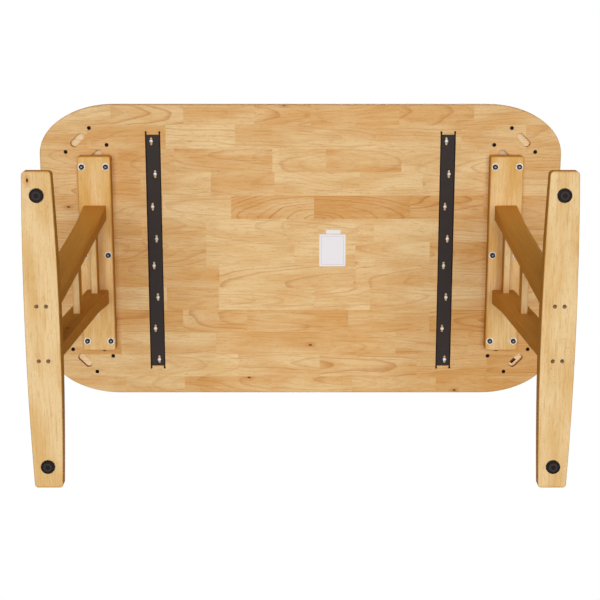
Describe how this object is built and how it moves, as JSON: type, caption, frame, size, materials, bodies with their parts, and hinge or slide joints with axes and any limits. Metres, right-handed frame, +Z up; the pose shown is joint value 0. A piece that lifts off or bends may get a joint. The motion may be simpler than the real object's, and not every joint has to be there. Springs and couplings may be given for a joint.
{
  "type": "dining table",
  "caption": "Wooden dining table: a laminated top with swept round corners, stiffened by let-in steel channels and bolted to end trestles of leaning posts, rungs and long feet.",
  "frame": {"origin": "on the floor, under the middle of the top", "axes": "+X along the top's length, +Y across it, +Z up"},
  "size_m": [1.3, 0.75, 0.7],
  "materials": {
    "top_wood": "satin clear varnish on laminated staves",
    "trestle_wood": "satin clear varnish",
    "channel_steel": "matt black-brown paint",
    "black_steel": "black, satin",
    "zinc_steel": "bright zinc",
    "glide_plastic": "moulded, matt"
  },
  "bodies": {
    "root": {"table_top": "top_wood", "channel_left": "channel_steel", "cleat_left": "trestle_wood", "foot_left": "trestle_wood", "upper_rung_left": "trestle_wood", "lower_rung_left": "trestle_wood", "post_front_left": "trestle_wood", "glide_front_left": "glide_plastic", "corner_insert_front_left_1": "black_steel", "corner_insert_front_left_2": "black_steel", "corner_insert_front_left_3": "black_steel", "post_back_left": "trestle_wood", "glide_back_left": "glide_plastic", "corner_insert_back_left_1": "black_steel", "corner_insert_back_left_2": "black_steel", "corner_insert_back_left_3": "black_steel", "cleat_bolt_left_1": "black_steel", "cleat_bolt_left_2": "black_steel", "cleat_bolt_left_3": "black_steel", "cleat_bolt_left_4": "black_steel", "cleat_bolt_left_5": "black_steel", "cleat_bolt_left_6": "black_steel", "foot_screw_left_1": "zinc_steel", "post_screw_left_1": "zinc_steel", "foot_screw_left_2": "zinc_steel", "post_screw_left_2": "zinc_steel", "foot_screw_left_3": "zinc_steel", "post_screw_left_3": "zinc_steel", "foot_screw_left_4": "zinc_steel", "post_screw_left_4": "zinc_steel", "channel_right": "channel_steel", "cleat_right": "trestle_wood", "foot_right": "trestle_wood", "upper_rung_right": "trestle_wood", "lower_rung_right": "trestle_wood", "post_front_right": "trestle_wood", "glide_front_right": "glide_plastic", "corner_insert_front_right_1": "black_steel", "corner_insert_front_right_2": "black_steel", "corner_insert_front_right_3": "black_steel", "post_back_right": "trestle_wood", "glide_back_right": "glide_plastic", "corner_insert_back_right_1": "black_steel", "corner_insert_back_right_2": "black_steel", "corner_insert_back_right_3": "black_steel", "cleat_bolt_right_1": "black_steel", "cleat_bolt_right_2": "black_steel", "cleat_bolt_right_3": "black_steel", "cleat_bolt_right_4": "black_steel", "cleat_bolt_right_5": "black_steel", "cleat_bolt_right_6": "black_steel", "foot_screw_right_1": "zinc_steel", "post_screw_right_1": "zinc_steel", "foot_screw_right_2": "zinc_steel", "post_screw_right_2": "zinc_steel", "foot_screw_right_3": "zinc_steel", "post_screw_right_3": "zinc_steel", "foot_screw_right_4": "zinc_steel", "post_screw_right_4": "zinc_steel"}
  },
  "joints": []
}
